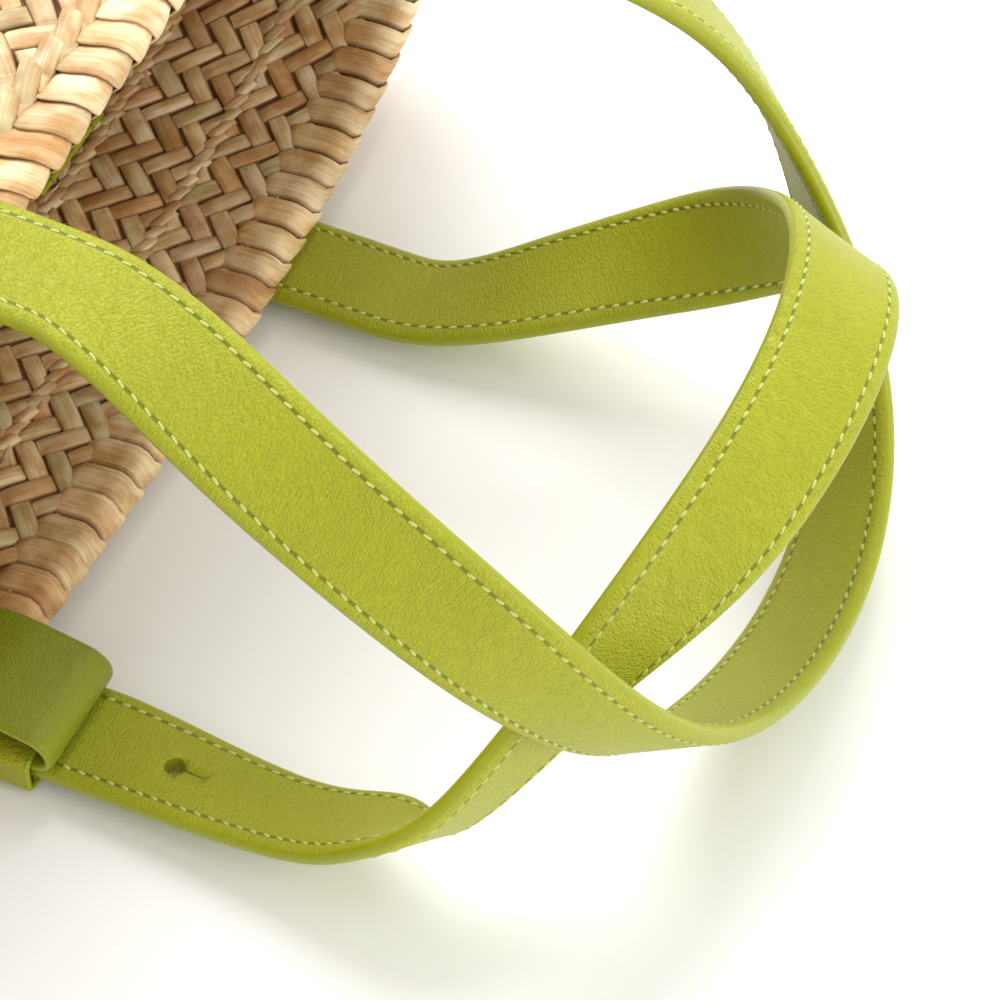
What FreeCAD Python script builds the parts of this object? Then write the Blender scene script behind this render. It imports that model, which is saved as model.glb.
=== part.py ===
import FreeCAD, Part
import math
import os

# A woven palm-leaf basket bag with two long flat leather handles, lying on its back wall.
# Millimetres. +X runs from the base to the mouth, +Y along the mouth's width, +Z up.
# The origin is on the floor, under the middle of the whole bag.

# ---- driving dimensions -------------------------------------------------------------------

RIM_X = 38.8             # the mouth's edge along X
COURSES = 8              # plaited bands from the base to the mouth
COURSE_PITCH = 32.0      # one band and its lacing cord, along X
LACING_WIDTH = 2.6       # cord between two bands
LACING_PROUD = 0.9       # how far it stands out of the wall on each side
WALL = 6.0               # thickness of the plaited wall
BASE_THICKNESS = 6.0

BASE_HALF_WIDTH = 145.0
MOUTH_HALF_WIDTH = 190.0
BASE_HALF_HEIGHT = 70.0
MOUTH_HALF_HEIGHT = 74.0
BELLY = 7.0              # extra half height half way down the bag
RIM_LIFT = 12.0          # the back wall's outside stands this far off the floor at the mouth
SQUARENESS = 4.0         # exponent of the wall's superelliptic section
SECTION_POINTS = 40      # points that the section curve passes through

RIM_RADIUS = 5.5         # rolled rim binding
TWINE_WIDTH = 6.0        # row of knotted strands below the binding, on the outside
TWINE_PROUD = 2.0
TWINE_GAP = 1.2          # from the binding to that row

STRAP_WIDTH = 30.0
LEATHER = 2.0            # outer leather and lining are each this thick
CORD_THICKNESS = 0.8     # reinforcement between them
CORD_WIDTH = 26.0
STRAP_THICKNESS = 2 * LEATHER + CORD_THICKNESS
CLEAR = 0.2              # air between pieces that lie on each other
HINGE_OUT = 30.0         # the handles bend this far beyond the rim
HINGE_GAP = 2.8          # fixed strap stops this far short of the bend
BACK_HINGE_Z = 7.5
FRONT_HINGE_Z = 164.0
STRAP_STEPS = 44         # straight spans along each handle

FIXED_END_REACH = 100.0  # plain end's length on the wall, from the rim
RIVETS_REACH = (89.0, 76.0)    # two rivets, from the rim
RIVET_SHANK = 2.0        # radii
RIVET_HEAD = 4.5
RIVET_HEAD_HEIGHT = 1.6
PATCH_LENGTH = 29.0      # leather backing patch inside the wall
PATCH_THICKNESS = 1.6

TAB_WIDTH = 32.0
TAB_LEATHER = 2.4
TAB_REACH = 46.0         # legs' length on the wall, from the rim
TAB_NOSE_X = 20.0        # middle of the fold, beyond the rim
TAB_NOSE_RADIUS = 4.2    # to the middle of the leather
TAIL_REACH = 56.0        # buckled strap's tail on the wall, from the rim
STUD_REACH = 23.0        # stud, from the rim
STUD_NECK = 2.8
STUD_HEAD = 3.6
SCREW_HEAD = 4.0
KEEPER_START = 8.0       # beyond the rim
KEEPER_WIDTH = 11.0
KEEPER_LEATHER = 1.5

# Middle line of each handle from its plain end to its buckled end, as control points of one
# smooth curve: X beyond the rim, Y, Z, and the strap's twist in degrees about its own length.
FRONT_LINE = [(30, -74, 164, 0), (45, -76, 164, 4), (79, -82, 141, 40), (129, -87, 115, 54),
              (158, -69, 66, 126), (167, -37, 32, 157), (172, 20, 7, 155), (165, 75, 12, 135),
              (141, 111, 45, 96), (111, 121, 95, 23), (81, 101, 137, -2), (50, 77, 164, -18),
              (30, 77, 164, 0)]
BACK_LINE = [(30, 80, 7.5, 0), (42, 80, 7.5, -2), (68, 87, 22, 10), (100, 98, 38, 29),
             (132, 97, 62, 95), (156, 76, 92, 152), (168, 35, 98, 164), (162, -12, 81, 140),
             (144, -48, 62, 86), (122, -88, 26, 76), (108, -85, 26, 6), (86, -85, 7, 24),
             (46, -82, 7.5, 5), (30, -82, 7.5, 0)]
KEYHOLE_X = 49.0         # first spare keyhole of each handle, beyond the rim
KEYHOLE_RADIUS = 3.0
KEYHOLE_SLIT = (8.0, 0.8)   # length from the hole's middle, width

BASE_X = RIM_X - COURSES * COURSE_PITCH
HALF_STRAP = STRAP_THICKNESS / 2
ON_WALL = LACING_PROUD + CLEAR               # leather lies on the lacing cords
ON_RIM = RIM_RADIUS - WALL / 2 + CLEAR       # and on the rim binding


# ---- small helpers ------------------------------------------------------------------------

def vec(x, y, z):
    return FreeCAD.Vector(x, y, z)


def save(name, *solids):
    """Write one node: a single solid, or a group of separate like solids."""
    shape = solids[0] if len(solids) == 1 else Part.makeCompound(list(solids))
    shape.exportStep("parts/" + name + ".step")


# ---- basket wall --------------------------------------------------------------------------

def section_size(x):
    """Half width, half height and middle height of the wall's outside at x."""
    share = (x - BASE_X) / (RIM_X - BASE_X)
    half_width = BASE_HALF_WIDTH + (MOUTH_HALF_WIDTH - BASE_HALF_WIDTH) * share ** 0.8
    straight = BASE_HALF_HEIGHT + (MOUTH_HALF_HEIGHT - BASE_HALF_HEIGHT) * share
    half_height = straight + BELLY * 4 * share * (1 - share)
    return half_width, half_height, half_height + RIM_LIFT * share


def section_wire(x, offset, shape_at=None):
    """Closed superellipse at x, moved outwards by offset from the wall's outside."""
    half_width, half_height, middle = section_size(x if shape_at is None else shape_at)
    points = []
    for i in range(SECTION_POINTS):
        angle = 2 * math.pi * i / SECTION_POINTS
        c, s = math.cos(angle), math.sin(angle)
        reach = (abs(c) ** SQUARENESS + abs(s) ** SQUARENESS) ** (-1 / SQUARENESS)
        points.append(vec(x, reach * c * (half_width + offset), middle + reach * s * (half_height + offset)))
    curve = Part.BSplineCurve()
    curve.interpolate(points, PeriodicFlag=True)
    start, length = curve.FirstParameter, curve.LastParameter - curve.FirstParameter
    quarters = [curve.toShape(start + length * i / 4, start + length * (i + 1) / 4) for i in range(4)]
    return Part.Wire(quarters)


def ring(stations, shape_at=None):
    """Ring around the mouth direction: (x, outer offset, inner offset) at each station."""
    outer = [section_wire(x, out, shape_at) for x, out, _ in stations]
    inner = [section_wire(x, inn, shape_at) for x, _, inn in stations]
    return Part.makeLoft(outer, True, True).cut(Part.makeLoft(inner, True, True))


def wall_surface(x, y, side):
    """Height of the wall's outside at (x, y): side +1 is the front wall, on top."""
    half_width, half_height, middle = section_size(x)
    rise = (1 - (abs(y) / half_width) ** SQUARENESS) ** (1 / SQUARENESS)
    return middle + side * half_height * rise


def build_basket(holes):
    band = COURSE_PITCH - LACING_WIDTH
    cords = []
    for number in range(COURSES):
        start = BASE_X + number * COURSE_PITCH
        end = min(start + band, RIM_X - RIM_RADIUS)
        course = ring([(start, 0, -WALL), (end, 0, -WALL)])
        through = [hole for hole in holes if start < hole.CenterOfMass.x < end]
        save("wall_course_%d" % (number + 1), course.cut(through) if through else course)
        if number:
            proud = LACING_PROUD
            cords.append(ring([(start - LACING_WIDTH, proud, -WALL - proud), (start, proud, -WALL - proud)],
                              start))
    save("lacing_cords", *cords)

    # The base starts as a small oval plait and widens to meet the first course.
    base = Part.makeLoft([section_wire(BASE_X - BASE_THICKNESS, 0, BASE_X), section_wire(BASE_X, 0)],
                         True, True)
    save("base", base)

    # Leaf strands wrapped over the mouth's edge, as an eight-sided roll about the wall's middle.
    middle = -WALL / 2
    roll = []
    for x_part, half in ((-1.0, 0.3), (-0.7, 0.75), (0.0, 1.0), (0.7, 0.75), (1.0, 0.3)):
        roll.append((RIM_X + x_part * RIM_RADIUS, middle + half * RIM_RADIUS, middle - half * RIM_RADIUS))
    save("rim_binding", ring(roll, RIM_X))

    # A row of knotted strands lies on the last course, below the binding.
    end = RIM_X - RIM_RADIUS - TWINE_GAP
    save("rim_knot_row", ring([(end - TWINE_WIDTH, TWINE_PROUD, 0.05), (end, TWINE_PROUD, 0.05)]))


# ---- leather strips that follow the wall --------------------------------------------------

def wall_slope(reach, y, side):
    """Rise of the wall's outside along +X at this reach."""
    x = RIM_X + min(reach, 0.0)
    return (wall_surface(x + 1, y, side) - wall_surface(x - 1, y, side)) / 2 if reach < 0 else 0.0


def height(reach, offset, y, side):
    """Height of a point this far off the wall, square to it: side +1 is the front wall.
    Pieces outside rest on the wall's highest part under them, pieces inside on its lowest."""
    x = RIM_X + min(reach, 0.0)
    near = abs(y) - STRAP_WIDTH / 2
    far = abs(y) + TAB_WIDTH / 2 + 2
    square = math.sqrt(1 + wall_slope(reach, near, side) ** 2)
    if offset > -WALL:
        return wall_surface(x, near, side) + side * offset * square
    return wall_surface(x, far, side) + side * offset * square


def follow(profile, y, side):
    """Turn (reach, offset) corners into (x, z), with more points where the wall is curved."""
    line = []
    for (reach, offset), (next_reach, next_offset) in zip(profile, profile[1:]):
        curved = min(reach, next_reach) < 0
        parts = max(1, math.ceil(abs(next_reach - reach) / 12)) if curved else 1
        for i in range(parts):
            share = i / parts
            r = reach + (next_reach - reach) * share
            line.append((RIM_X + r, height(r, offset + (next_offset - offset) * share, y, side)))
    reach, offset = profile[-1]
    line.append((RIM_X + reach, height(reach, offset, y, side)))
    return line


def strip_solid(line, y, width, half):
    """Flat strip: line is its middle as (x, z) pairs, half its half thickness."""
    sides = []
    for edge in (-half, half):
        side = []
        for i, (x, z) in enumerate(line):
            before = line[max(i - 1, 0)]
            after = line[min(i + 1, len(line) - 1)]
            run = math.hypot(after[0] - before[0], after[1] - before[1])
            across = (-(after[1] - before[1]) / run, (after[0] - before[0]) / run)
            side.append(vec(x + edge * across[0], y - width / 2, z + edge * across[1]))
        sides.append(side)
    outline = sides[0] + sides[1][::-1] + [sides[0][0]]
    return Part.Face(Part.makePolygon(outline)).extrude(vec(0, width, 0))


def hinge_offset(y, side):
    """Offset from the wall's outside of the line about which the handle bends."""
    hinge_z = FRONT_HINGE_Z if side > 0 else BACK_HINGE_Z
    return side * (hinge_z - wall_surface(RIM_X, abs(y) - STRAP_WIDTH / 2, side))


def pin_point(reach, y, side, offset):
    """Point on a pin's middle line, which stands square to the wall at this reach."""
    slope = wall_slope(reach, abs(y) - STRAP_WIDTH / 2, side)
    square = math.sqrt(1 + slope ** 2)
    rise = (height(reach, offset, y, side) - height(reach, 0, y, side)) / square
    foot = vec(RIM_X + reach, y, height(reach, 0, y, side))
    return foot + vec(-slope / square, 0, 1 / square) * rise


def pin(reach, y, side, radius, low, high):
    """Cylinder square to the wall, from offset low to offset high."""
    start, end = pin_point(reach, y, side, low), pin_point(reach, y, side, high)
    return Part.makeCylinder(radius, (end - start).Length, start, end - start)


def rounded_disc(reach, y, side, radius, low, high, rounding):
    """Disc whose rim at offset high is rounded over."""
    disc = pin(reach, y, side, radius, low, high)
    top = pin_point(reach, y, side, high)
    edges = [e for e in disc.Edges if e.Closed and (e.CenterOfMass - top).Length < 0.01]
    return disc.makeFillet(rounding, edges)


def build_plain_end(name, y, side):
    """The strap's plain end lies on the wall and is riveted through it to a leather patch."""
    wall_offset = ON_WALL + HALF_STRAP
    rim_offset = ON_RIM + HALF_STRAP
    profile = [(-FIXED_END_REACH, wall_offset), (-17, wall_offset), (-12, rim_offset),
               (3, rim_offset), (HINGE_OUT - HINGE_GAP, hinge_offset(y, side))]
    strap = strip_solid(follow(profile, y, side), y, STRAP_WIDTH, HALF_STRAP)

    inside = -WALL - ON_WALL - PATCH_THICKNESS / 2
    middle = sum(RIVETS_REACH) / 2
    patch_profile = [(-middle - PATCH_LENGTH / 2, inside), (-middle + PATCH_LENGTH / 2, inside)]
    patch = strip_solid(follow(patch_profile, y, side), y, STRAP_WIDTH + 4, PATCH_THICKNESS / 2)

    strap_face = wall_offset + HALF_STRAP + 0.05
    patch_face = inside - PATCH_THICKNESS / 2 - 0.15
    washer_face = patch_face - 0.8
    rivets, washers, holes = [], [], []
    for reach in RIVETS_REACH:
        holes.append(pin(-reach, y, side, RIVET_SHANK + 0.1, washer_face - 3, strap_face + 3))
        shank = pin(-reach, y, side, RIVET_SHANK, washer_face - 0.1, strap_face)
        head = rounded_disc(-reach, y, side, RIVET_HEAD, strap_face, strap_face + RIVET_HEAD_HEIGHT, 1.2)
        burr = pin(-reach, y, side, RIVET_SHANK + 1.2, washer_face - 1.0, washer_face - 0.1)
        rivets.append(shank.fuse([head, burr]).removeSplitter())
        washers.append(pin(-reach, y, side, RIVET_HEAD, washer_face, patch_face).cut(holes[-1]))
    save(name + "_strap_plain_end", strap.cut(holes))
    save(name + "_backing_patch", patch.cut(holes))
    save(name + "_rivets", *rivets)
    save(name + "_burr_washers", *washers)
    return holes


def build_buckled_end(name, y, side):
    """A tab folded over the rim carries a stud and a keeper; the strap's tail is buttoned on."""
    half = TAB_LEATHER / 2
    outer_wall, outer_rim = ON_WALL + half, ON_RIM + half
    middle = -WALL / 2
    nose = []
    for i in range(9):
        angle = math.pi * (0.5 - i / 8)
        nose.append((TAB_NOSE_X + TAB_NOSE_RADIUS * math.cos(angle),
                     middle + TAB_NOSE_RADIUS * math.sin(angle)))
    outer_leg = [(-TAB_REACH, outer_wall), (-17, outer_wall), (-12, outer_rim), (3, outer_rim)]
    inner_leg = [(3, -WALL - outer_rim), (-7, -WALL - outer_rim), (-10, -WALL - outer_wall),
                 (-TAB_REACH, -WALL - outer_wall)]
    tab = strip_solid(follow(outer_leg + nose + inner_leg, y, side), y, TAB_WIDTH, half)

    lift = half + CLEAR + HALF_STRAP
    end = (HINGE_OUT - HINGE_GAP, hinge_offset(y, side))
    tail_profile = [(-TAIL_REACH, outer_wall + lift)]
    tail_profile += [(reach, offset + lift) for reach, offset in outer_leg[1:]]
    tail_profile += [(TAB_NOSE_X, nose[0][1] + lift), end]
    tail = strip_solid(follow(tail_profile, y, side), y, STRAP_WIDTH, HALF_STRAP)

    # The stud's neck stands on the tab, and its screw comes from inside the bag.
    tab_face = outer_wall + half + 0.05
    strap_face = outer_wall + lift + HALF_STRAP
    inside_face = -WALL - outer_wall - half - 0.15
    neck = pin(-STUD_REACH, y, side, STUD_NECK, tab_face, strap_face + 0.4)
    head = rounded_disc(-STUD_REACH, y, side, STUD_HEAD, strap_face + 0.3, strap_face + 2.5, 1.4)
    thread = pin(-STUD_REACH, y, side, 1.4, tab_face - 1, tab_face + 3.6)
    screw_shank = pin(-STUD_REACH, y, side, 1.35, inside_face, tab_face + 3.4)
    screw_head = rounded_disc(-STUD_REACH, y, side, SCREW_HEAD, inside_face, inside_face - 1.4, 0.8)
    hole = pin(-STUD_REACH, y, side, 1.5, inside_face - 3, tab_face + 0.5)
    keyhole = pin(-STUD_REACH, y, side, STUD_NECK + 0.2, tab_face, strap_face + 3)
    save(name + "_stud", neck.fuse(head).cut(thread).removeSplitter())
    save(name + "_stud_screw", screw_shank.fuse(screw_head).removeSplitter())
    save(name + "_anchor_tab", tab.cut(hole))
    save(name + "_strap_tail", tail.cut(keyhole))
    save(name + "_keeper", keeper_solid(y, side, outer_rim, lift))
    return [hole]


def keeper_solid(y, side, outer_rim, lift):
    """Band around the strap and the tab's outer leg, standing in the tab's fold."""
    start, end = KEEPER_START, KEEPER_START + KEEPER_WIDTH
    slope = (outer_rim - (TAB_NOSE_RADIUS - WALL / 2)) / (TAB_NOSE_X - 3)
    leg_low = outer_rim - slope * (end - 3) - TAB_LEATHER / 2 - 0.15
    strap_high = outer_rim - slope * (start - 3) + lift + HALF_STRAP + 0.15
    half_inside = TAB_WIDTH / 2 + 0.25
    bands = []
    for grow in (KEEPER_LEATHER, 0.0):
        ends = sorted((height(0, leg_low - grow, y, side), height(0, strap_high + grow, y, side)))
        half_width = half_inside + grow
        block = Part.makeBox(end - start, 2 * half_width, ends[1] - ends[0],
                             vec(RIM_X + start, y - half_width, ends[0]))
        edges = [e for e in block.Edges if abs(e.Vertexes[0].X - e.Vertexes[1].X) > 1]
        bands.append(block.makeFillet(0.6 + grow, edges))
    return bands[0].cut(bands[1])


# ---- handles ------------------------------------------------------------------------------

def smooth(points):
    """Clamped cubic B-spline through evenly spaced knots, from its control points."""
    spans = len(points) - 3
    curve = Part.BSplineCurve()
    curve.buildFromPolesMultsKnots(points, [4] + [1] * (spans - 1) + [4],
                                   [i / spans for i in range(spans + 1)], False, 3)
    return curve


def strap_frames(line):
    """Middle, direction across and direction through the strap at each step of its length."""
    path = smooth([vec(RIM_X + x, y, z) for x, y, z, _ in line])
    twist = smooth([vec(turn, 0, 0) for _, _, _, turn in line])
    frames = []
    for i in range(STRAP_STEPS + 1):
        t = i / STRAP_STEPS
        along = path.getD1(t)[1].normalize()
        level = vec(0, 0, 1).cross(along).normalize()
        up = along.cross(level)
        turn = math.radians(twist.value(t).x)
        across = level * math.cos(turn) + up * math.sin(turn)
        frames.append((path.value(t), across, along.cross(across)))
    return frames


def strap_layer(frames, width, low, high):
    """One layer of the strap, from low to high through its thickness."""
    wires = []
    for middle, across, through in frames:
        corners = []
        for w, h in ((-1, low), (1, low), (1, high), (-1, high), (-1, low)):
            corners.append(middle + across * (w * width / 2) + through * h)
        wires.append(Part.makePolygon(corners))
    return Part.makeLoft(wires, True, True)


def build_handle(name, line, outer_side):
    """Outer leather, reinforcement and lining. outer_side is the outer leather's side."""
    frames = strap_frames(line)
    core = CORD_THICKNESS / 2
    layers = {"outer": (STRAP_WIDTH, core, core + LEATHER),
              "lining": (STRAP_WIDTH, -core - LEATHER, -core),
              "reinforcement": (CORD_WIDTH, -core, core)}
    buckled_half = frames[STRAP_STEPS // 2:]
    middle, across, through = min(buckled_half, key=lambda f: abs(f[0].x - RIM_X - KEYHOLE_X))
    slit = Part.makeBox(KEYHOLE_SLIT[0], KEYHOLE_SLIT[1], 12, vec(0, -KEYHOLE_SLIT[1] / 2, -6))
    turn = FreeCAD.Rotation(across.cross(through), across, through, "ZYX")
    slit.Placement = FreeCAD.Placement(middle, turn)
    holes = [Part.makeCylinder(KEYHOLE_RADIUS, 12, middle - through * 6, through), slit]
    for layer, (width, low, high) in layers.items():
        ends = sorted((outer_side * low, outer_side * high))
        save(name + "_strap_" + layer, strap_layer(frames, width, *ends).cut(holes))


os.makedirs("parts", exist_ok=True)
wall_holes = build_plain_end("front", FRONT_LINE[0][1], 1)
wall_holes += build_buckled_end("front", FRONT_LINE[-1][1], 1)
wall_holes += build_plain_end("back", BACK_LINE[0][1], -1)
wall_holes += build_buckled_end("back", BACK_LINE[-1][1], -1)
build_basket(wall_holes)
build_handle("front", FRONT_LINE, 1)
build_handle("back", BACK_LINE, -1)
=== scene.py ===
import math

import bpy
import numpy as np
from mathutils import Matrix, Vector


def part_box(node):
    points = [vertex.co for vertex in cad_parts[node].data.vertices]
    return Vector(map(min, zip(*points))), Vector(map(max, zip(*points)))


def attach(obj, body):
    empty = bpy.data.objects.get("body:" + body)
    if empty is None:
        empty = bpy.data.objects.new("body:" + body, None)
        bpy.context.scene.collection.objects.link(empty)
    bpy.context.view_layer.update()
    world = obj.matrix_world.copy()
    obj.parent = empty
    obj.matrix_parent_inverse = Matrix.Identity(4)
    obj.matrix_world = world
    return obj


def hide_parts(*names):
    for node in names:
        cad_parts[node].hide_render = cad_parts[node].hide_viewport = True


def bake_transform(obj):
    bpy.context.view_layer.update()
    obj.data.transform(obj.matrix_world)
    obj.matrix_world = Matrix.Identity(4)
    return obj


# A woven palm-leaf basket bag with two long lime leather shoulder straps, lying on its back.
# +X runs from the base to the mouth, +Y along the mouth, +Z up. Sizes below are millimetres.

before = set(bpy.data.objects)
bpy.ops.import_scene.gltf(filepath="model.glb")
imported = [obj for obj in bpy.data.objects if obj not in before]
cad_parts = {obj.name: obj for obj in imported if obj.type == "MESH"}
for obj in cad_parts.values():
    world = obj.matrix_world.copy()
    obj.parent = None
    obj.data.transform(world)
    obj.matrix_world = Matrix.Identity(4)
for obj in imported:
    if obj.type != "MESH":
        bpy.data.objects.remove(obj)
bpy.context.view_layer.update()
rng = np.random.default_rng(7)

# ---- camera -------------------------------------------------------------------------------
# A long lens looks down into the mouth from in front of it, over the looped straps.
# It turns 25 degrees round from the bag's width and stands 51 degrees above the floor.

azimuth, elevation = math.radians(25.21), math.radians(50.64)
look = Vector((-math.sin(azimuth) * math.cos(elevation), math.cos(azimuth) * math.cos(elevation),
               -math.sin(elevation)))
mouth_edge = 0.0388
aim = Vector((mouth_edge + 0.08862, 0.01894, 0.020))
camera = bpy.data.objects.new("camera", bpy.data.cameras.new("camera"))
camera.data.lens = 146.57
camera.data.sensor_width = 36.0
camera.data.clip_end = 20.0
camera.location = aim - look * 1.02066
camera.rotation_euler = look.to_track_quat("-Z", "Y").to_euler()
bpy.context.scene.collection.objects.link(camera)
bpy.context.scene.camera = camera
bpy.context.scene.view_settings.view_transform = "Standard"


# ---- floor and studio light ---------------------------------------------------------------
# A seamless white sheet of paper, with a large soft lamp overhead and to the far side,
# a broad fill that looks into the mouth and a pale room all round.

def linear(code):
    """Colour from a sRGB hex code: each channel through the sRGB curve to linear light."""
    channels = np.array([int(code[i:i + 2], 16) for i in (1, 3, 5)]) / 255
    curved = np.where(channels <= 0.04045, channels / 12.92, ((channels + 0.055) / 1.055) ** 2.4)
    return (*curved.tolist(), 1.0)


def add(tree, kind, settings=None, **links):
    """Add one node: settings are attributes or socket values, links name the sockets fed."""
    node = tree.nodes.new(kind)
    for key, value in (settings or {}).items():
        if isinstance(key, int) or key in node.inputs:
            node.inputs[key].default_value = value
        else:
            setattr(node, key, value)
    for key, source in links.items():
        place = int(key[1:]) if key[0] == "i" and key[1:].isdigit() else key.replace("_", " ")
        tree.links.new(source, node.inputs[place])
    return node


def start_material(name):
    """Empty node material: returns it, its tree and its output node."""
    material = bpy.data.materials.new(name)
    material.use_nodes = True
    material.node_tree.nodes.clear()
    return material, material.node_tree, material.node_tree.nodes.new("ShaderNodeOutputMaterial")


def tube(grid):
    """Quads between neighbouring rows of a grid of point numbers, each row a closed ring."""
    after = np.roll(grid, -1, 1)
    return np.stack((grid[:-1], grid[1:], after[1:], after[:-1]), -1).reshape(-1, 4)


def copies(parts, size, count):
    """The same quads for count shapes of size points each, one after another."""
    return (np.concatenate(parts) + size * np.arange(count).reshape(-1, 1, 1)).reshape(-1, 4)


def put_mesh(name, points, quads, materials, material_of=None, smooth=True, **attributes):
    """Mesh in metres from points in millimetres and an array of quads. Faces are turned round
    when the volume they enclose, summed over the quads' two triangles, comes out negative."""
    points = np.asarray(points, float).reshape(-1, 3)
    quads = np.asarray(quads).reshape(-1, 4)
    a, b, c, d = (points[quads[:, i]] for i in range(4))
    if (np.cross(a, b) * c).sum() + (np.cross(a, c) * d).sum() < 0 and name != "floor":
        quads = quads[:, ::-1]
    mesh = bpy.data.meshes.new(name)
    mesh.vertices.add(len(points))
    mesh.vertices.foreach_set("co", (points * 0.001).astype(np.float32).ravel())
    mesh.loops.add(quads.size)
    mesh.loops.foreach_set("vertex_index", quads.astype(np.int32).ravel())
    mesh.polygons.add(len(quads))
    mesh.polygons.foreach_set("loop_start", np.arange(0, quads.size, 4, dtype=np.int32))
    mesh.polygons.foreach_set("use_smooth", np.full(len(quads), smooth))
    for material in materials:
        mesh.materials.append(material)
    if material_of is not None:
        mesh.polygons.foreach_set("material_index", np.asarray(material_of, np.int32))
    mesh.update(calc_edges=True)
    for key, value in attributes.items():
        kind = "FLOAT_COLOR" if key == "tint" else "FLOAT_VECTOR"
        store = mesh.attributes.new(key, kind, "POINT")
        store.data.foreach_set("color" if key == "tint" else "vector", np.asarray(value, np.float32).ravel())
    obj = bpy.data.objects.new(name, mesh)
    bpy.context.scene.collection.objects.link(obj)
    return obj


paper, tree, out = start_material("matte_white_paper")
fibre = add(tree, "ShaderNodeTexNoise", {"Scale": 900.0, "Detail": 2.0})
rough = add(tree, "ShaderNodeBump", {"Strength": 0.03, "Distance": 0.0004}, Height=fibre.outputs["Fac"])
skin = add(tree, "ShaderNodeBsdfPrincipled",
           {"Base Color": linear("#fbfbf9"), "Roughness": 0.9, "Specular IOR Level": 0.1},
           Normal=rough.outputs["Normal"])
tree.links.new(skin.outputs[0], out.inputs[0])
FLOOR_HALF, FLOOR_Z = 9000, -0.3
floor = put_mesh("floor", [(x * FLOOR_HALF, y * FLOOR_HALF, FLOOR_Z)
                           for x, y in ((-1, -1), (1, -1), (1, 1), (-1, 1))], [(0, 1, 2, 3)], [paper])

room = bpy.data.worlds.new("pale_room")
room.use_nodes = True
room.node_tree.nodes["Background"].inputs["Color"].default_value = linear("#ffffff")
room.node_tree.nodes["Background"].inputs["Strength"].default_value = 0.92
bpy.context.scene.world = room
for name, place, size, power in (("overhead_lamp", (-0.35, 0.75, 1.20), 1.1, 18.5),
                                 ("mouth_fill", (1.3, -0.1, 0.55), 0.9, 7.0)):
    lamp = bpy.data.objects.new(name, bpy.data.lights.new(name, "AREA"))
    lamp.data.shape = "DISK"
    lamp.data.size = size
    lamp.data.energy = power
    lamp.location = place
    lamp.rotation_euler = (Vector((0.02, 0.0, 0.06)) - Vector(place)).to_track_quat("-Z", "Y").to_euler()
    bpy.context.scene.collection.objects.link(lamp)


# ---- plaited wall -------------------------------------------------------------------------
# Bands of palm leaf plaited in a two-over, two-under twill at 45 degrees to the mouth.
# Each strand shows as a short crowned float whose ends dip under the strands that cross it.

RIM_X, COURSES, COURSE_PITCH, LACING_WIDTH, WALL = 38.8, 8, 32.0, 2.6, 6.0
BASE_X = RIM_X - COURSES * COURSE_PITCH
STRAND = 6.7             # strand width, leaf that was split to size by hand
TWILL_RISE = 0.9         # crown of a float over the wall's face


def section_size(x):
    """Half width, half height and middle height of the wall at x: each grows from base to
    mouth, and the half height has a belly, four times share times one less share."""
    share = np.clip((x - BASE_X) / (RIM_X - BASE_X), 0.0, 1.04)
    half_height = 70.0 + 4.0 * share + 28.0 * share * (1 - share)
    return 145.0 + 45.0 * share ** 0.8, half_height, half_height + 12.0 * share


def oval(turn, half_width, half_height):
    """Superellipse of exponent four: the point at an angle is pushed out until the fourth
    powers of its cosine and sine, scaled, add up to one."""
    c, s = np.cos(turn), np.sin(turn)
    reach = (c ** 4 + s ** 4) ** -0.25
    return reach * c * half_width, reach * s * half_height


def wall_round(x):
    """Angles and running lengths round the wall's face at x, for finding a length's angle."""
    turn = np.linspace(0, 2 * math.pi, 1441)
    y, z = oval(turn, *section_size(x)[:2])
    return turn, np.concatenate(([0], np.cumsum(np.hypot(np.diff(y), np.diff(z)))))


def bowed(x, y, turn):
    """How far a point is drawn back towards the base, because the mouth's edge isn't straight:
    a constant plus a share of y squared, more on the back wall than on the front one, and
    growing as the square of the way up the last 96 mm of the wall."""
    back = 0.5 - 0.5 * np.sin(turn)
    most = (1.7 + 3.4e-4 * y ** 2) * back + (-1.0 + 0.9e-4 * y ** 2) * (1 - back)
    return np.minimum(most, 11.0) * np.clip((x - RIM_X + 96) / 96, 0, 1) ** 2


def on_wall(x, length, proud, inside, lengths):
    """Point on the wall: length round it, proud of its outer or inner face, along the oval."""
    half_width, half_height, middle = section_size(x)
    out = np.where(inside, -WALL - proud, proud)
    turn = np.interp(np.mod(length, lengths[1][-1]), lengths[1], lengths[0])
    y, z = oval(turn, half_width + out, half_height + out)
    return np.stack(np.broadcast_arrays(x - bowed(x, y, turn), y, middle + z), -1)


ACROSS = np.array([-0.5, -0.36, -0.12, 0.12, 0.36, 0.5])    # a strand's section, flat below
CROWN = np.array([-0.25, 0.72, 1.0, 1.0, 0.72, -0.25])
ALONG = np.array([-0.5, -0.42, -0.24, 0.0, 0.24, 0.42, 0.5])
DIP = np.array([-0.35, 0.45, 0.92, 1.0, 0.92, 0.45, -0.35])

LEAF_TINTS = np.array([linear(code) for code in
                       ("#efd6a8", "#f4e2bc", "#e8c49a", "#dfd0a2", "#dcb684", "#ecd2a5")])


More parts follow.
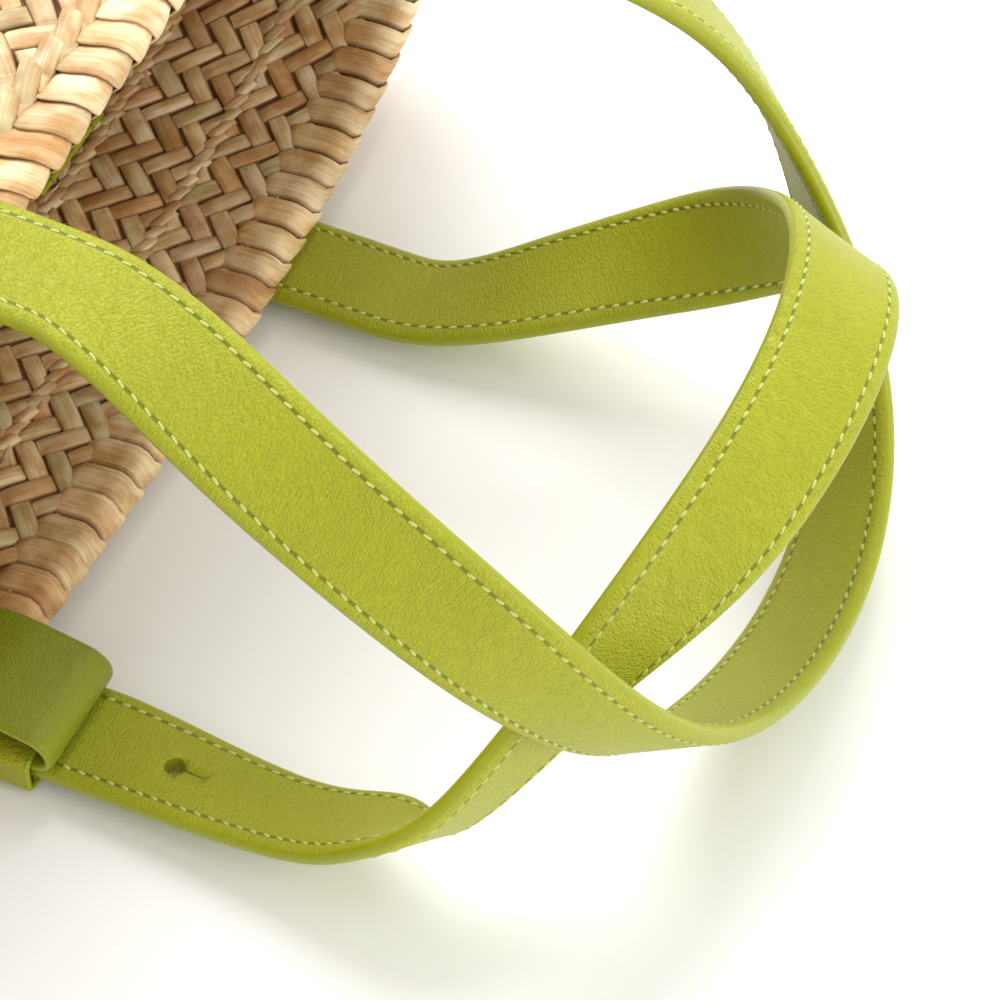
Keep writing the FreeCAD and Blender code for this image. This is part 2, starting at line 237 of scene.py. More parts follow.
def floats(along, across, angle, length, width, rise, place):
    """Closed pods, one per strand seen: the flat-bottomed section is carried along each float,
    rising as DIP says, turned by angle in the surface and set down by place(u, v, proud)."""
    count = len(along)
    bit = rng.uniform(-1, 1, (6, count, 1, 1))
    length = np.reshape(length, (-1, 1, 1)) * (1 + 0.05 * bit[0])
    width = np.reshape(width, (-1, 1, 1)) * (1 + 0.07 * bit[1])
    rise = np.reshape(rise, (-1, 1, 1)) * (1 + 0.18 * bit[2])
    angle = np.reshape(angle, (-1, 1, 1)) + 0.05 * bit[3]
    a = ALONG.reshape(1, -1, 1) * length
    narrow = 1 - 0.10 * np.abs(ALONG).reshape(1, -1, 1) ** 2 * 4
    b = ACROSS.reshape(1, 1, -1) * width * narrow
    proud = rise * (CROWN.reshape(1, 1, -1) * 0.5 + 0.5) * DIP.reshape(1, -1, 1)
    proud = np.minimum(proud, rise * CROWN.reshape(1, 1, -1)) + 0.12 * bit[4] * b / width
    u = np.reshape(along, (-1, 1, 1)) + a * np.cos(angle) - b * np.sin(angle)
    v = np.reshape(across, (-1, 1, 1)) + a * np.sin(angle) + b * np.cos(angle)
    points = place(u, v, proud)
    sides = tube(np.arange(42).reshape(7, 6))
    ends = np.array([(0, 1, 2, 5), (2, 3, 4, 5), (41, 38, 37, 36), (41, 40, 39, 38)])
    quads = copies((sides, ends), 42, count)
    pick = LEAF_TINTS[rng.integers(0, len(LEAF_TINTS), count)][:, :3] * rng.uniform(0.82, 1.1, (count, 1))
    tint = np.repeat(np.concatenate((pick, np.ones((count, 1))), 1), 42, 0)
    # The third value is 0 down a float's middle and 1 at its edges. It is the mask for the painted shade
    # along those edges.
    strand = np.stack(np.broadcast_arrays(a + 900 * bit[5], b, np.abs(ACROSS).reshape(1, 1, -1) * 2), -1)
    return points.reshape(-1, 3), quads, tint, strand.reshape(-1, 3)


def twill(low, high, around):
    """Middles and angles of twill floats that fill a band: where the two strand numbers add
    up to 0 or 1 in fours, the rising strand is on top, else the falling one."""
    turns = max(4, 4 * round(around / (4 * STRAND * math.sqrt(2))))
    step = around / turns / math.sqrt(2)
    n = turns + 8
    i, j = np.meshgrid(np.arange(-n, 2 * n), np.arange(-n, 2 * n), indexing="ij")
    found = []
    for phase, angle in ((0, math.pi / 4), (2, -math.pi / 4)):
        if phase == 0:
            a, b = (i + 0.5) * step, (j + 1.0) * step
        else:
            a, b = (i + 1.0) * step, (j + 0.5) * step
        u, v = (a + b) / math.sqrt(2), (b - a) / math.sqrt(2)
        keep = ((i + j) % 4 == phase) & (u >= 0) & (u < around - 1e-6)
        keep &= (v > low - step * 0.45) & (v < high + step * 0.45)
        found.append((u[keep], v[keep], np.full(keep.sum(), angle)))
    u, v, angle = (np.concatenate(group) for group in zip(*found))
    return u, v, angle, step


# Dried palm leaf: matte, with fine fibres along each strand, darkened with painted shade along
# the edges where it dips under its neighbours, now and then a split; its tint differs from strand to strand.
leaf, tree, out = start_material("dried_palm_leaf")
place = add(tree, "ShaderNodeAttribute", {"attribute_name": "strand"})
tint = add(tree, "ShaderNodeAttribute", {"attribute_name": "tint"})
parts = add(tree, "ShaderNodeSeparateXYZ", Vector=place.outputs["Vector"])
stretch = add(tree, "ShaderNodeMapping", {"Scale": (0.05, 1.7, 1.0)}, Vector=place.outputs["Vector"])
fibres = add(tree, "ShaderNodeTexNoise", {"Scale": 1.0, "Detail": 4.0, "Roughness": 0.65},
             Vector=stretch.outputs[0])
patch_map = add(tree, "ShaderNodeMapping", {"Scale": (0.10, 0.16, 0.0)}, Vector=place.outputs["Vector"])
patches = add(tree, "ShaderNodeTexNoise", {"Scale": 1.0, "Detail": 3.0}, Vector=patch_map.outputs[0])
tone = add(tree, "ShaderNodeValToRGB", {}, Fac=fibres.outputs["Fac"])
tone.color_ramp.elements[0].position, tone.color_ramp.elements[0].color = 0.28, linear("#c6a877")
tone.color_ramp.elements[1].position, tone.color_ramp.elements[1].color = 0.60, linear("#ffffff")
fibred = add(tree, "ShaderNodeMix", {"data_type": "RGBA", "blend_type": "MULTIPLY", 0: 0.6},
             i6=tint.outputs["Color"], i7=tone.outputs["Color"])
stain = add(tree, "ShaderNodeValToRGB", {}, Fac=patches.outputs["Fac"])
stain.color_ramp.elements[0].position, stain.color_ramp.elements[0].color = 0.36, linear("#d3b185")
stain.color_ramp.elements[1].position, stain.color_ramp.elements[1].color = 0.60, linear("#ffffff")
stained = add(tree, "ShaderNodeMix", {"data_type": "RGBA", "blend_type": "MULTIPLY", 0: 0.8},
              i6=fibred.outputs[2], i7=stain.outputs["Color"])
# Painted shade: at a float's edges, where it dips under its neighbours, the colour is darkened.
edge_shade = add(tree, "ShaderNodeValToRGB", {}, Fac=parts.outputs["Z"])
edge_shade.color_ramp.elements[0].position, edge_shade.color_ramp.elements[0].color = 0.72, linear("#ffffff")
edge_shade.color_ramp.elements[1].position, edge_shade.color_ramp.elements[1].color = 1.0, linear("#8a6138")
edged = add(tree, "ShaderNodeMix", {"data_type": "RGBA", "blend_type": "MULTIPLY", 0: 0.9},
            i6=stained.outputs[2], i7=edge_shade.outputs["Color"])
relief = add(tree, "ShaderNodeBump", {"Strength": 0.45, "Distance": 0.0003}, Height=fibres.outputs["Fac"])
skin = add(tree, "ShaderNodeBsdfPrincipled",
           {"Roughness": 0.48, "IOR": 1.45, "Specular IOR Level": 0.42},
           Base_Color=edged.outputs[2], Normal=relief.outputs["Normal"])
tree.links.new(skin.outputs[0], out.inputs[0])

# The strands' undersides and the plait's second layer, seen only as dark slits between floats. Their dark
# brown is painted shade: the same leaf, coloured as if in shadow.
leaf_in_painted_shade, tree, out = start_material("palm_leaf_under_layer_in_painted_shade")
coords = add(tree, "ShaderNodeTexCoord")
mottle = add(tree, "ShaderNodeTexNoise", {"Scale": 140.0, "Detail": 4.0}, Vector=coords.outputs["Object"])
dark = add(tree, "ShaderNodeValToRGB", {}, Fac=mottle.outputs["Fac"])
dark.color_ramp.elements[0].position, dark.color_ramp.elements[0].color = 0.35, linear("#4a301a")
dark.color_ramp.elements[1].position, dark.color_ramp.elements[1].color = 0.65, linear("#805a34")
skin = add(tree, "ShaderNodeBsdfPrincipled", {"Roughness": 0.8, "Specular IOR Level": 0.2},
           Base_Color=dark.outputs["Color"])
tree.links.new(skin.outputs[0], out.inputs[0])


# The second layer of the plait, behind the floats, from the base to the rim: both faces of
# the wall drawn as one closed ring, a hair below the floats' undersides.
at = np.linspace(0, 1, 241)[:-1]
x = np.concatenate((np.linspace(BASE_X - 1, RIM_X - 4, 40), np.linspace(RIM_X - 4, BASE_X - 1, 40)))
face = np.repeat((False, True), 40)
lengths = wall_round(0.0)
under = on_wall(x[:, None], at * lengths[1][-1], -0.12, face[:, None], lengths)
grid = np.arange(80 * 240).reshape(80, 240)
nxt = np.roll(grid, -1, 0)
under = put_mesh("plait_under_layer", under,
                 np.stack((grid, nxt, np.roll(nxt, -1, 1), np.roll(grid, -1, 1)), -1), [leaf_in_painted_shade])
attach(under, "basket")
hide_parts("lacing_cords", *["wall_course_%d" % n for n in range(1, COURSES + 1)])

for number in range(COURSES):
    end = min(BASE_X + (number + 1) * COURSE_PITCH + 0.2 - LACING_WIDTH, RIM_X - 6.0) - 0.4
    for inside in (False, True):
        # On the outside the first band also covers the edge of the base.
        start = BASE_X + number * COURSE_PITCH + 0.2 - (5.8 if number == 0 and not inside else 0.0)
        lengths = wall_round((start + end) / 2)
        u, v, angle, step = twill(0.0, end - start, lengths[1][-1])
        shift = rng.uniform(0, 50)

        def lay(u, v, proud):
            """Set a float on this band: v along the bag, eased in at the band's two edges."""
            flat = np.clip(v, 0, end - start) + 0.06 * (v - np.clip(v, 0, end - start))
            return on_wall(start + flat, u + shift, proud, inside, lengths)

        points, quads, tint, strand = floats(u, v, angle, 2.22 * step, 0.99 * step, TWILL_RISE, lay)
        band = put_mesh("plait_%d_%s" % (number + 1, "inner" if inside else "outer"), points, quads, [leaf],
                        tint=tint, strand=strand)
        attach(band, "basket")


# ---- base ---------------------------------------------------------------------------------
# The bottom is one flat oval mat of the same plait, sewn to the first band.

def lay_base(facing):
    """A mat over the base's oval: floats whose middles lie inside it, on the plane x."""
    u, v, angle, step = twill(0.0, 140.0, 290.0)
    u, v = u - 145.0, v - 70.0
    keep = (np.abs(u) / 144) ** 4 + (np.abs(v) / 69) ** 4 < 1

    def lay(y, z, proud):
        """Height above the mat is along X; points past the oval's edge are drawn back to it."""
        over = np.maximum(((np.abs(y) / 145) ** 4 + (np.abs(z) / 70) ** 4) ** 0.25, 1.0)
        x = BASE_X - 6.0 - proud if facing < 0 else BASE_X + proud
        return np.stack(np.broadcast_arrays(x, y / over, 70.0 + z / over), -1)

    return floats(u[keep], v[keep], angle[keep], 2.22 * step, 0.99 * step, TWILL_RISE, lay)


for facing, name in ((-1, "base_mat_outer"), (1, "base_mat_inner")):
    points, quads, tint, strand = lay_base(facing)
    mat = put_mesh(name, points, quads, [leaf], tint=tint, strand=strand)
    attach(mat, "basket")
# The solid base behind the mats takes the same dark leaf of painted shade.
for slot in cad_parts["base"].material_slots:
    slot.material = leaf_in_painted_shade


# ---- lacing cords -------------------------------------------------------------------------
# Neighbouring bands are sewn edge to edge with a twisted leaf cord. It shows on both faces
# as a low ridge of short slanting turns.

for inside in (False, True):
    groups = []
    for number in range(1, COURSES):
        x = BASE_X + number * COURSE_PITCH - LACING_WIDTH / 2
        lengths = wall_round(x)
        count = round(lengths[1][-1] / 5.2)
        u = np.arange(count) * lengths[1][-1] / count
        groups.append(floats(u, np.zeros(count), np.full(count, 0.40), 9.4, 4.4, 1.15,
                             lambda u, v, proud: on_wall(x + v, u, proud, inside, lengths)))
    first = np.cumsum([0] + [len(group[0]) for group in groups[:-1]])
    cord = put_mesh("lacing_" + ("inner" if inside else "outer"),
                    np.concatenate([group[0] for group in groups]),
                    np.concatenate([group[1] + base for group, base in zip(groups, first)]), [leaf],
                    tint=np.concatenate([group[2] for group in groups]),
                    strand=np.concatenate([group[3] for group in groups]))
    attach(cord, "basket")


# ---- rim binding --------------------------------------------------------------------------
# Broad strands wrapped over the mouth's edge, each lapping the one before it, so that every
# turn has one free edge. The colour along both edges of each turn is darkened with painted
# shade, the dark line under the free edge. They slant on the outside and run nearly
# square to the edge on the inside.

RIM_RADIUS = 5.5
WRAP_PITCH = 9.6
rim_lengths = wall_round(RIM_X)


def on_rim(length, around, out):
    """Point by the mouth's edge. around is the way over the roll in millimetres from its
    outermost line: straight down the outer face, half a circle over the edge, and straight
    down the inner face. out is the distance from that path, square to it."""
    half = math.pi * (RIM_RADIUS - 0.6)
    radius = RIM_RADIUS - 0.6 + out
    angle = np.clip(around / half, 0, 1) * math.pi
    reach = radius * np.sin(angle) + np.minimum(around, 0) - np.maximum(around - half, 0)
    offset = -WALL / 2 + radius * np.cos(angle)
    offset = offset + np.where(around < 0, np.maximum(around, -8) * 0.16, 0)
    offset = offset + np.where(around > half, np.minimum(around - half, 8) * 0.16, 0)
    half_width, half_height, middle = section_size(RIM_X + np.minimum(reach, 0))
    turn = np.interp(np.mod(length, rim_lengths[1][-1]), rim_lengths[1], rim_lengths[0])
    y, z = oval(turn, half_width + offset, half_height + offset)
    return np.stack(np.broadcast_arrays(RIM_X + reach - bowed(RIM_X, y, turn), y, middle + z), -1)


count = round(rim_lengths[1][-1] / WRAP_PITCH)
pitch = rim_lengths[1][-1] / count
s = np.linspace(-7.5, 27.5, 15).reshape(1, -1, 1)
t = np.array([0.0, 0.03, 0.2, 0.45, 0.7, 0.92, 0.97, 0.97, 0.5, 0.0]).reshape(1, 1, -1)
lift = np.array([-0.6, -0.45, 0.15, 0.62, 0.95, 1.05, 0.75, 0.1, -0.5, -0.7]).reshape(1, 1, -1)
bit = rng.uniform(-1, 1, (4, count, 1, 1))
ends = np.clip(np.minimum(s + 7.5, 27.5 - s) / 3.0, 0, 1)
out = lift * (0.55 + 0.45 * ends) * (1 + 0.15 * bit[0]) - 0.9 * (1 - ends) ** 2
bow = 1.1 * np.sin((s + 7.5) / 35.0 * math.pi)
narrow = np.where(s < 8, 1.22, 1.0) - 0.2 * (1 - ends)
slant = np.where(s < 8, 0.47 * s, 3.76 - 0.12 * (s - 8))
length = (np.arange(count).reshape(-1, 1, 1) + 0.06 * bit[1]) * pitch + t * pitch * narrow - slant + bow
points = on_rim(length, s + 1.2 * bit[2] * (1 - ends), out)
grid = np.arange(15 * 10).reshape(15, 10)
caps = np.concatenate([[(e[0], e[1], e[8], e[9]), (e[1], e[2], e[7], e[8]), (e[2], e[3], e[6], e[7]),
                        (e[3], e[4], e[5], e[6])] for e in (grid[0], grid[-1, ::-1])])
quads = copies((tube(grid), caps), grid.size, count)
pick = LEAF_TINTS[rng.choice([0, 1, 4, 5], count)][:, :3] * rng.uniform(0.9, 1.12, (count, 1))
tint = np.repeat(np.concatenate((pick, np.ones((count, 1))), 1), grid.size, 0)
# Painted shade: 1 darkens a wrap's colour at its edges, the line of shade under each free edge.
shade = np.array([1.0, 1.0, 0.72, 0.2, 0.2, 0.4, 0.8, 1.0, 1.0, 1.0]).reshape(1, 1, -1)
strand = np.stack(np.broadcast_arrays(s + 900 * bit[3], t * pitch, shade), -1).reshape(-1, 3)
wraps = put_mesh("rim_wraps", points, quads, [leaf], tint=tint, strand=strand)
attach(wraps, "basket")
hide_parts("rim_binding")

# The bundle of leaf ribs inside the wraps, a plain roll that only shows between them, drawn in the dark leaf
# of painted shade.
length = np.linspace(0, rim_lengths[1][-1], 241)[:-1].reshape(-1, 1)
s = np.linspace(-5.0, 21.0, 14).reshape(1, -1)
upper = on_rim(length, s, -0.5)
lower = on_rim(length, s[:, ::-1], -3.0)
rib = np.concatenate((upper, lower), 1)
grid = np.arange(240 * 28).reshape(240, 28)
quads = np.stack((grid, np.roll(grid, -1, 0), np.roll(np.roll(grid, -1, 0), -1, 1), np.roll(grid, -1, 1)), -1)
ribs = put_mesh("rim_ribs", rib, quads, [leaf_in_painted_shade])
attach(ribs, "basket")


# ---- knotted row --------------------------------------------------------------------------
# Below the wraps, on the outside, a pair of strands is knotted round itself, one turn to each
# wrap, and stands a little prouder than the plait.

u = np.arange(count) * pitch
KNOT_ROW_X = RIM_X - 10.4
points, quads, tint, strand = floats(
    u, np.zeros(count), np.full(count, 0.27), 15.5, 6.6, 2.3,
    lambda u, v, proud: on_wall(KNOT_ROW_X + v, u, proud, False, rim_lengths))
row = put_mesh("rim_knots", points, quads, [leaf], tint=tint, strand=strand)
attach(row, "basket")
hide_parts("rim_knot_row")


# ---- leather straps -----------------------------------------------------------------------
# Each handle is one strap: outer leather and lining glued over a tape, stitched 3.8 mm from
# both edges, the edges rounded and painted. One end is riveted to the wall and the other is
# buttoned on a stud, and in between it lies in a long twisting loop.

STRAP_WIDTH, STRAP_THICKNESS, TAB_WIDTH = 30.0, 4.8, 32.0
STITCH_PITCH = 4.1
HINGE_OUT = 30.0         # beyond the rim, where the handle begins to swing

FRONT_LINE = [(30, -74, 164, 0), (45, -76, 164, 4), (79, -82, 141, 40), (129, -87, 115, 54),
              (158, -69, 66, 126), (167, -37, 32, 157), (172, 20, 7, 155), (165, 75, 12, 135),
              (141, 111, 45, 96), (111, 121, 95, 23), (81, 101, 137, -2), (50, 77, 164, -18),
              (30, 77, 164, 0)]
BACK_LINE = [(30, 80, 7.5, 0), (42, 80, 7.5, -2), (68, 87, 22, 10), (100, 98, 38, 29),
             (132, 97, 62, 95), (156, 76, 92, 152), (168, 35, 98, 164), (162, -12, 81, 140),
             (144, -48, 62, 86), (122, -88, 26, 76), (108, -85, 26, 6), (86, -85, 7, 24),
             (46, -82, 7.5, 5), (30, -82, 7.5, 0)]


def face_height(reach, offset, y, side, half=STRAP_WIDTH / 2):
    """Height off the wall, square to it: outside on the wall's highest line under a strip,
    inside on its lowest. The wall is the superellipse, and its slope tilts the offset."""
    x = RIM_X + np.minimum(reach, 0.0)

    def surface(x, y):
        half_width, half_height, middle = section_size(x)
        return middle + side * half_height * (1 - (abs(y) / half_width) ** 4) ** 0.25

    slope = np.where(reach < 0, (surface(x + 1, abs(y) - half) - surface(x - 1, abs(y) - half)) / 2, 0)
    foot = np.where(offset > -WALL, surface(x, abs(y) - half), surface(x, abs(y) + TAB_WIDTH / 2 + 2))
    return foot + side * offset * np.sqrt(1 + slope ** 2)


def strip_line(profile, y, side):
    """Points every millimetre along (reach, offset) corners on the wall, as x, y, z, their
    corners rounded by averaging each point with its neighbours within 3 mm."""
    profile = np.array(profile, float)
    run = np.concatenate(([0], np.cumsum(np.hypot(*np.diff(profile, axis=0).T))))
    at = np.linspace(0, run[-1], int(run[-1]) + 1)
    reach, offset = np.interp(at, run, profile[:, 0]), np.interp(at, run, profile[:, 1])
    line = np.stack((RIM_X + reach, np.full(len(at), float(y)), face_height(reach, offset, y, side)), -1)
    held = np.concatenate((2 * line[:1] - line[3:0:-1], line, 2 * line[-1:] - line[-2:-5:-1]))
    return sum(held[i:i + len(line)] for i in range(7)) / 7


def smooth_curve(points, steps):
    """Clamped cubic B-spline with evenly spaced knots: each value is the sum of the control
    points times their basis functions, built up from steps of degree 0 to degree 3."""
    points = np.array(points, float)
    spans = len(points) - 3
    knots = np.concatenate((np.zeros(3), np.linspace(0, 1, spans + 1), np.ones(3)))
    t = np.linspace(0, 1 - 1e-9, steps).reshape(-1, 1)
    basis = ((knots[:-1] <= t) & (t < knots[1:])).astype(float)
    for degree in (1, 2, 3):
        rise = knots[degree:-1] - knots[:-degree - 1]
        fall = knots[degree + 1:] - knots[1:-degree]
        left = np.where(rise > 0, (t - knots[:-degree - 1]) / np.where(rise > 0, rise, 1), 0)
        right = np.where(fall > 0, (knots[degree + 1:] - t) / np.where(fall > 0, fall, 1), 0)
        basis = left * basis[:, :-1] + right * basis[:, 1:]
    return basis @ points


def unit(v):
    """Vectors over their own lengths."""
    return v / np.linalg.norm(v, axis=-1, keepdims=True)


def strap_course(plain, loop, tail, outer_side):
    """Middle line, across and through of a whole strap, one row every 2 mm: the plain end,
    the loop and the tail joined. Across is level and square to the run, turned by the twist;
    through is the run times across, and points out of the outer leather."""
    curve = smooth_curve(loop, 280)
    line = np.concatenate((plain[:-1], curve[:, :3] + (RIM_X, 0, 0), tail[::-1][1:]))
    twist = np.radians(np.concatenate((np.zeros(len(plain) - 1), curve[:, 3], np.zeros(len(tail) - 1))))
    run = np.concatenate(([0], np.cumsum(np.linalg.norm(np.diff(line, axis=0), axis=1))))
    at = np.linspace(0, run[-1], int(run[-1] / 2) + 1)
    line = np.stack([np.interp(at, run, line[:, i]) for i in range(3)], -1)
    twist = np.interp(at, run, twist)[:, None]
    held = np.concatenate((2 * line[:1] - line[2:0:-1], line, 2 * line[-1:] - line[-2:-4:-1]))
    line = sum(held[i:i + len(line)] for i in range(5)) / 5
    forward = unit(np.gradient(line, axis=0))
    level = unit(np.cross((0, 0, 1), forward))
    across = level * np.cos(twist) + np.cross(forward, level) * np.sin(twist)
    through = np.cross(forward, across)
    return at, line, across * outer_side, through * outer_side


def strap_section(width, thickness, groove):
    """Closed section of a strap: w across, h through. The edges are rounded over by a
    superellipse, the faces swell by 0.12 mm between two stitch grooves."""
    half = thickness / 2
    w = np.array([-1, -0.985, -0.95, -0.90, -0.85, -0.80, -0.775, -0.755, -0.735, -0.715, -0.69, -0.55,
                  -0.3, 0, 0.3, 0.55, 0.69, 0.715, 0.735, 0.755, 0.775, 0.80, 0.85, 0.90, 0.95, 0.985, 1])
    if width < 20:
        w = np.sign(w) * np.abs(w) ** 1.15
    edge = np.clip((1 - np.abs(w)) / (1.9 * half / (width / 2)), 0, 1)
    h = half * (1 - (1 - edge) ** 2.4) ** (1 / 2.4)
    dip = np.exp(-((np.abs(w) - 0.745) / 0.022) ** 2) * groove
    swell = 0.10 * np.clip(1 - (w / 0.7) ** 2, 0, 1) + 0.10 * np.exp(-((np.abs(w) - 0.86) / 0.05) ** 2)
    h = h - dip + swell * (groove > 0)
    w = w * width / 2
    return np.concatenate((w, w[-2:0:-1])), np.concatenate((h, -h[-2:0:-1]))


def carry(name, at, line, across, through, width, thickness, groove, materials, closed=False):
    """Carry the strap section along a line. Rows are the line's points and columns the
    section's; the ends are rounded by two shrinking rows and closed by a strip of quads.
    The attribute strap holds the length along, the place across, and the side."""
    w, h = strap_section(width, thickness, groove)
    rows = line[:, None] + across[:, None] * w[:, None] + through[:, None] * h[:, None]
    along = np.repeat(at, len(w)).reshape(len(at), -1)
    if not closed:
        forward = unit(np.cross(across[[0, -1]], through[[0, -1]]))
        tips = []
        for row, way, at_row in ((0, -forward[0], 0), (-1, forward[1], -1)):
            for out, thin in ((0.0, 1.0), (0.25 * thickness, 0.82), (0.38 * thickness, 0.45)):
                tips.append(line[row] + way * out + across[row] * w[:, None] * (1 - 0.02 * (1 - thin))
                            + through[row] * h[:, None] * thin)
        rows = np.concatenate((np.stack(tips[2:0:-1]), rows, np.stack(tips[4:6])))
        along = np.concatenate((along[:1], along[:1], along, along[-1:], along[-1:]))
    count, size = rows.shape[:2]
    grid = np.arange(count * size).reshape(count, size)
    if closed:
        quads = tube(np.concatenate((grid, grid[:1])))
    else:
        quads = tube(grid)
        half = size // 2
        top = np.arange(half)
        bottom = (-np.arange(half)) % size
        for row, turn in ((0, 1), (count - 1, -1)):
            cap = np.stack((row * size + top[:-1], row * size + top[1:], row * size + bottom[1:],
                            row * size + bottom[:-1]), -1)[1:, ::turn]
            quads = np.concatenate((quads, cap))
    painted = np.abs(np.tile(w, count)) > width / 2 - 0.27 * thickness
    side = np.sign(np.tile(h, count))
    store = np.stack((along.ravel(), np.tile(w, count), side), -1)
    which = np.zeros(len(quads), int)
    which[side[quads].sum(1) < 0] = min(1, len(materials) - 1)
    which[painted[quads].sum(1) >= 3] = len(materials) - 1
    return put_mesh(name, rows, quads, materials, which, strap=store)


def leather(name, light, dark, rough, grain_height, seam_at=11.2):
    """Pebbled leather: cells about 0.95 mm across the strap and 0.45 mm along it, mixed with
    finer noise; the valleys are a little darker with painted shade, and a groove with holes lies along each
    seam, darkened with painted shade.
    seam_at is the seam's distance from the middle; beyond the edge means no seam at all."""
    material, tree, out = start_material(name)
    place = add(tree, "ShaderNodeAttribute", {"attribute_name": "strap"})
    parts = add(tree, "ShaderNodeSeparateXYZ", Vector=place.outputs["Vector"])
    bend = add(tree, "ShaderNodeTexNoise", {"Scale": 0.25, "Detail": 2.0}, Vector=place.outputs["Vector"])
    bent = add(tree, "ShaderNodeVectorMath", {"operation": "MULTIPLY_ADD", 1: (2.0, 2.0, 0)},
               i0=bend.outputs["Color"], i2=place.outputs["Vector"])
    press = add(tree, "ShaderNodeMapping", {"Scale": (2.3, 1.05, 1.0)}, Vector=bent.outputs[0])
    cells = add(tree, "ShaderNodeTexVoronoi", {"feature": "SMOOTH_F1", "Scale": 1.0, "Smoothness": 0.35},
                Vector=press.outputs[0])
    fine = add(tree, "ShaderNodeTexNoise", {"Scale": 1.5, "Detail": 3.0}, Vector=press.outputs[0])
    pebble = add(tree, "ShaderNodeMath", {"operation": "MULTIPLY_ADD", 1: 0.45},
                 i0=fine.outputs["Fac"], i2=cells.outputs["Distance"])
    tone = add(tree, "ShaderNodeMapRange", {"From Min": 0.35, "From Max": 1.05}, Value=pebble.outputs[0])
    broad = add(tree, "ShaderNodeTexNoise", {"Scale": 0.035, "Detail": 2.0}, Vector=place.outputs["Vector"])
    # Painted shade: the grain's valleys take the darker of the two colours.
    hue = add(tree, "ShaderNodeMix", {"data_type": "RGBA", 6: linear(light), 7: linear(dark)},
              i0=tone.outputs[0])
    worn = add(tree, "ShaderNodeMix", {"data_type": "RGBA", "blend_type": "MULTIPLY",
                                       7: linear("#e4e6c8")}, i0=broad.outputs["Fac"], i6=hue.outputs[2])
    # Distance from the seam line, in millimetres, and place within one stitch.
    off = add(tree, "ShaderNodeMath", {"operation": "ABSOLUTE"}, i0=parts.outputs["Y"])
    seam = add(tree, "ShaderNodeMath", {"operation": "SUBTRACT", 1: seam_at}, i0=off.outputs[0])
    seam_off = add(tree, "ShaderNodeMath", {"operation": "ABSOLUTE"}, i0=seam.outputs[0])
    beat = add(tree, "ShaderNodeMath", {"operation": "DIVIDE", 1: STITCH_PITCH}, i0=parts.outputs["X"])
    beat = add(tree, "ShaderNodeMath", {"operation": "FRACT"}, i0=beat.outputs[0])
    beat = add(tree, "ShaderNodeMath", {"operation": "SUBTRACT", 1: 0.5}, i0=beat.outputs[0])
    beat = add(tree, "ShaderNodeMath", {"operation": "ABSOLUTE"}, i0=beat.outputs[0])
    groove = add(tree, "ShaderNodeMapRange",
                 {"From Min": 0.25, "From Max": 0.75, "To Min": 0.30, "To Max": 0.0},
                 Value=seam_off.outputs[0])
    hole = add(tree, "ShaderNodeMapRange", {"From Min": 0.20, "From Max": 0.30, "To Min": 0.0, "To Max": 1.6},
               Value=beat.outputs[0])
    pit = add(tree, "ShaderNodeMath", {"operation": "MULTIPLY_ADD", "use_clamp": True}, i0=groove.outputs[0],
              i1=hole.outputs[0], i2=groove.outputs[0])
    # Painted shade: the seam's groove, and its stitch holes most of all, are darkened towards a deep olive
    # green.
    sewn = add(tree, "ShaderNodeMix", {"data_type": "RGBA", 7: linear("#5d6a06")}, i0=pit.outputs[0],
               i6=worn.outputs[2])
    calm = add(tree, "ShaderNodeMapRange", {"From Min": 0.3, "From Max": 1.2, "To Min": 0.25, "To Max": 1.0},
               Value=seam_off.outputs[0])
    strength = add(tree, "ShaderNodeMath", {"operation": "MULTIPLY", 1: 1.0}, i0=calm.outputs[0])
    relief = add(tree, "ShaderNodeBump", {"Distance": grain_height, "invert": True},
                 Strength=strength.outputs[0], Height=pebble.outputs[0])
    skin = add(tree, "ShaderNodeBsdfPrincipled",
               {"Roughness": rough, "IOR": 1.48, "Specular IOR Level": 0.4, "Sheen Weight": 0.05,
                "Sheen Roughness": 0.5},
               Base_Color=sewn.outputs[2], Normal=relief.outputs["Normal"])
    tree.links.new(skin.outputs[0], out.inputs[0])
    return material


# Pebbled calf, dyed lime and finished semi-matte, and its smoother, finer lining side.
lime_leather = leather("pebbled_lime_calf", "#b2b416", "#a5a80f", 0.42, 0.00040)
lining_leather = leather("fine_grain_lime_lining", "#a9ac15", "#9da00e", 0.50, 0.00022)
plain_calf = leather("smooth_lime_calf", "#8f9610", "#858d0b", 0.38, 0.00012, seam_at=60.0)

# Edge paint: a smooth acrylic coat in a yellower lime, satin, with the faint waves of brushing.
edge_paint, tree, out = start_material("painted_leather_edge")
coords = add(tree, "ShaderNodeAttribute", {"attribute_name": "strap"})
waves = add(tree, "ShaderNodeMapping", {"Scale": (0.35, 1.0, 1.0)}, Vector=coords.outputs["Vector"])
brushed = add(tree, "ShaderNodeTexNoise", {"Scale": 1.0, "Detail": 2.0}, Vector=waves.outputs[0])
coat = add(tree, "ShaderNodeMix", {"data_type": "RGBA", 6: linear("#9ea20a"), 7: linear("#8a8f06")},
           i0=brushed.outputs["Fac"])
relief = add(tree, "ShaderNodeBump", {"Strength": 0.35, "Distance": 0.0002}, Height=brushed.outputs["Fac"])
skin = add(tree, "ShaderNodeBsdfPrincipled", {"Roughness": 0.36, "IOR": 1.49},
           Base_Color=coat.outputs[2], Normal=relief.outputs["Normal"])
tree.links.new(skin.outputs[0], out.inputs[0])

